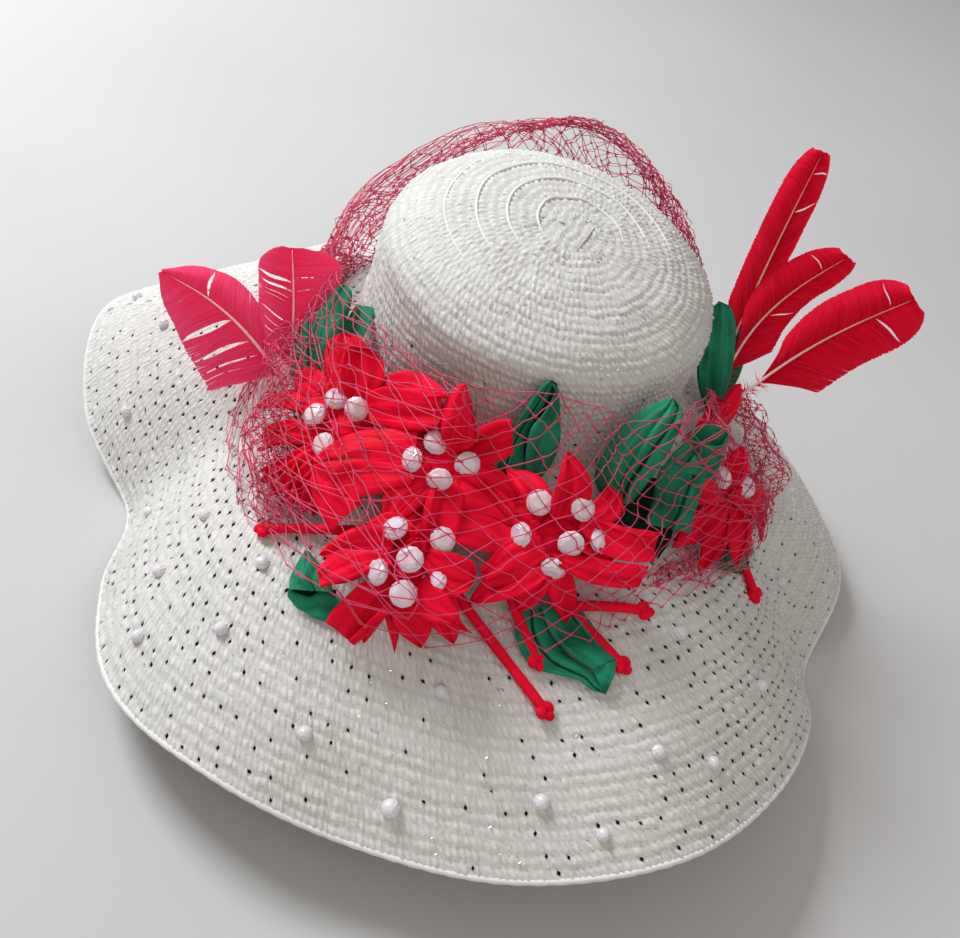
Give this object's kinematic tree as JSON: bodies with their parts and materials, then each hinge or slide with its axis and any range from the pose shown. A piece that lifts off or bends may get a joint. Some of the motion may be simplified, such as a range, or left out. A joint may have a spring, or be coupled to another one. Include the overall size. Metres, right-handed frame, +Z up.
{
  "type": "wide-brimmed sun hat",
  "caption": "Woven sun hat with a round crown and a wide brim that droops in waves, trimmed at the front with satin flowers, leaves, feathers, beads and a net veil.",
  "frame": {"origin": "centre of the bounding box's bottom, on the surface that the lowest waves of the brim stand on", "axes": "+Z up out of the crown, -Y the trimmed front, +X the side with the tall feathers, which is the wearer's left"},
  "size_m": [0.499, 0.5062, 0.2503],
  "materials": {
    "straw": "matt white paper braid, sewn in rows",
    "satin_red": "folded crimson satin",
    "satin_green": "folded green satin",
    "feather_red": "dyed red feather",
    "veil_pink": "wide-mesh crimson veiling",
    "bead_pearl": "off-white faceted bead with a faint rainbow sheen"
  },
  "bodies": {
    "root": {"crown": "straw", "brim": "straw", "bead_01": "bead_pearl", "bead_02": "bead_pearl", "bead_03": "bead_pearl", "bead_04": "bead_pearl", "bead_05": "bead_pearl", "bead_06": "bead_pearl", "bead_07": "bead_pearl", "bead_08": "bead_pearl", "bead_09": "bead_pearl", "bead_10": "bead_pearl", "bead_11": "bead_pearl", "bead_12": "bead_pearl", "bead_13": "bead_pearl", "bead_14": "bead_pearl", "bead_15": "bead_pearl", "bead_16": "bead_pearl", "bead_17": "bead_pearl", "bead_18": "bead_pearl", "bead_19": "bead_pearl", "bead_20": "bead_pearl", "bead_21": "bead_pearl", "bead_22": "bead_pearl", "bead_23": "bead_pearl", "flower_left": "satin_red", "flower_middle": "satin_red", "flower_low": "satin_red", "flower_centre": "satin_red", "flower_right": "satin_red", "stamen_low_left": "satin_red", "stamen_low_middle": "satin_red", "stamen_low_right": "satin_red", "stamen_turned_up": "satin_red", "stamen_left": "satin_red", "stamen_right": "satin_red", "leaf_left_back": "satin_green", "leaf_crown_front": "satin_green", "leaf_right_upper": "satin_green", "leaf_right_lower": "satin_green", "leaf_right_back": "satin_green", "leaf_bottom": "satin_green", "leaf_lower_left": "satin_green", "leaf_lower_right": "satin_green", "bow_right": "satin_red", "feather_left_low": "feather_red", "feather_left_tall": "feather_red", "feather_right_tall": "feather_red", "feather_right_mid": "feather_red", "feather_right_low": "feather_red", "veil_front": "veil_pink", "veil_back": "veil_pink"}
  },
  "joints": []
}
